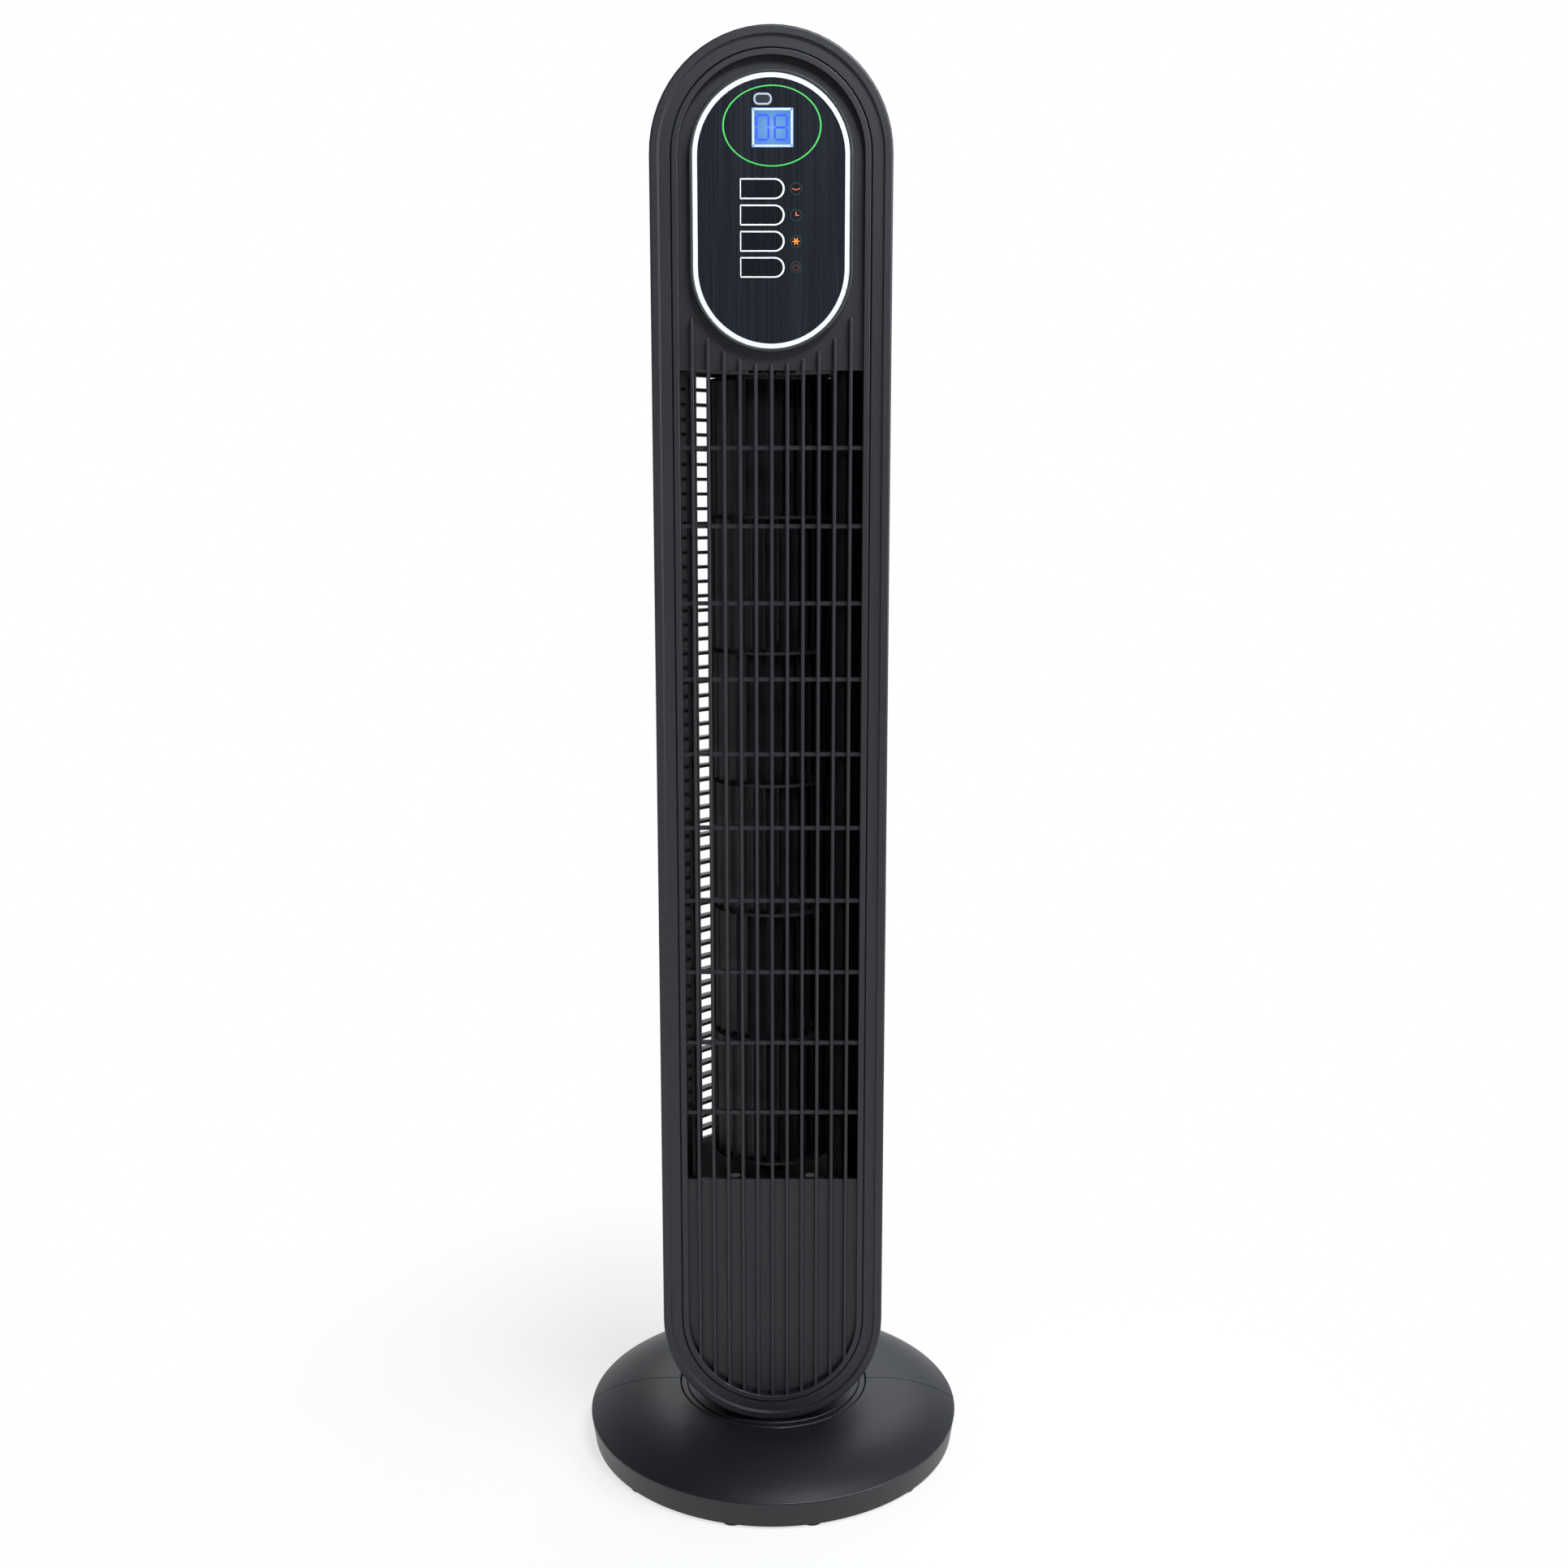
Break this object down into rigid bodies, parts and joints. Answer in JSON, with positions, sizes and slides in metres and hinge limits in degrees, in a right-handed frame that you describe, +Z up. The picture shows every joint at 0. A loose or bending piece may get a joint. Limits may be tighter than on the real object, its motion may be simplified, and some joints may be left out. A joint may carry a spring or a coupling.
{
  "type": "tower fan",
  "caption": "Slim floor-standing tower fan with a stadium-shaped ribbed front, a key panel at the top and a round base on which the column swings.",
  "frame": {"origin": "centre of the footprint on the floor, on the column's swing axis", "axes": "+Z up along the swing axis; the front grille and panel face -Y; +X is to the right as seen from the front"},
  "size_m": [0.222, 0.222, 0.8005],
  "materials": {
    "shell": "fine matte texture, charcoal black",
    "grille": "fine matte texture, charcoal black",
    "rotor_plastic": "satin black",
    "inner_plastic": "satin black",
    "panel_film": "glossy black film, brushed look",
    "panel_ring": "white",
    "keys": "glossy black with a white outline",
    "display": "backlit light blue",
    "lens": "smoked clear",
    "lamp": "amber",
    "rubber": "matte black",
    "steel": "bright",
    "zinc": "zinc plated",
    "motor_case": "pressed",
    "lamination": "blued",
    "copper": "enamelled copper wire",
    "bronze": "sintered bronze",
    "board": "solder mask green",
    "slide_white": "natural acetal"
  },
  "bodies": {
    "base": {"base_front_half": "shell", "base_rear_half": "shell", "base_feet": "rubber", "cord_bush": "rubber", "neck": "shell", "neck_screws": "zinc", "lock_nut": "inner_plastic", "slide_ring": "slide_white", "swing_gear": "slide_white", "gear_screws": "zinc"},
    "column": {"turntable_disc": "shell", "column_foot": "shell", "foot_screws": "zinc", "flange_screws": "zinc", "swing_motor": "motor_case", "swing_motor_screws": "zinc", "front_frame": "shell", "rear_housing": "shell", "case_screws": "zinc", "rear_grille": "grille", "carry_handle": "shell", "front_grille": "grille", "lower_bulkhead": "inner_plastic", "upper_bulkhead": "inner_plastic", "bearing_rubber": "rubber", "top_bearing": "bronze", "guide_left": "inner_plastic", "guide_right": "inner_plastic", "stator": "lamination", "windings": "copper", "motor_top_shell": "motor_case", "motor_bottom_shell": "motor_case", "motor_bearings": "bronze", "motor_screws": "zinc", "panel_tray": "shell", "panel_ring": "panel_ring", "panel_film": "panel_film", "display_window": "display", "receiver_window": "lens", "lamp_lenses": "lens", "lamps": "lamp", "display_module": "inner_plastic", "receiver": "lens", "key_switches": "inner_plastic", "circuit_board": "board", "board_screws": "zinc", "buzzer": "inner_plastic"},
    "rotor": {"impeller": "rotor_plastic", "stub_shaft": "steel", "motor_rotor": "lamination", "motor_shaft": "steel"},
    "pinion": {"swing_pinion": "slide_white", "pinion_shaft": "steel"},
    "swing_key": {"swing_key": "keys"},
    "timer_key": {"timer_key": "keys"},
    "speed_key": {"speed_key": "keys"},
    "power_key": {"power_key": "keys"}
  },
  "joints": [
    {"name": "column_swing", "type": "hinge", "parent": "base", "child": "column", "pos_m": [0, 0, 0.03], "axis": [0, 0, 1], "range_deg": [-35, 35]},
    {"name": "rotor_spin", "type": "hinge", "parent": "column", "child": "rotor", "pos_m": [0, 0, 0.4], "axis": [0, 0, 1], "continuous": true},
    {"name": "pinion_spin", "type": "hinge", "parent": "column", "child": "pinion", "pos_m": [0, 0.0241, 0.039], "axis": [0, 0, 1], "range_deg": [-105, 105]},
    {"name": "swing_key_press", "type": "slide", "parent": "column", "child": "swing_key", "axis": [0, 1, 0], "range_m": [0, 0.0008], "stiffness_N_per_m": 400},
    {"name": "timer_key_press", "type": "slide", "parent": "column", "child": "timer_key", "axis": [0, 1, 0], "range_m": [0, 0.0008], "stiffness_N_per_m": 400},
    {"name": "speed_key_press", "type": "slide", "parent": "column", "child": "speed_key", "axis": [0, 1, 0], "range_m": [0, 0.0008], "stiffness_N_per_m": 400},
    {"name": "power_key_press", "type": "slide", "parent": "column", "child": "power_key", "axis": [0, 1, 0], "range_m": [0, 0.0008], "stiffness_N_per_m": 400}
  ],
  "couplings": [
    {"joint": "pinion_spin", "follows": "column_swing", "ratio": 3}
  ]
}
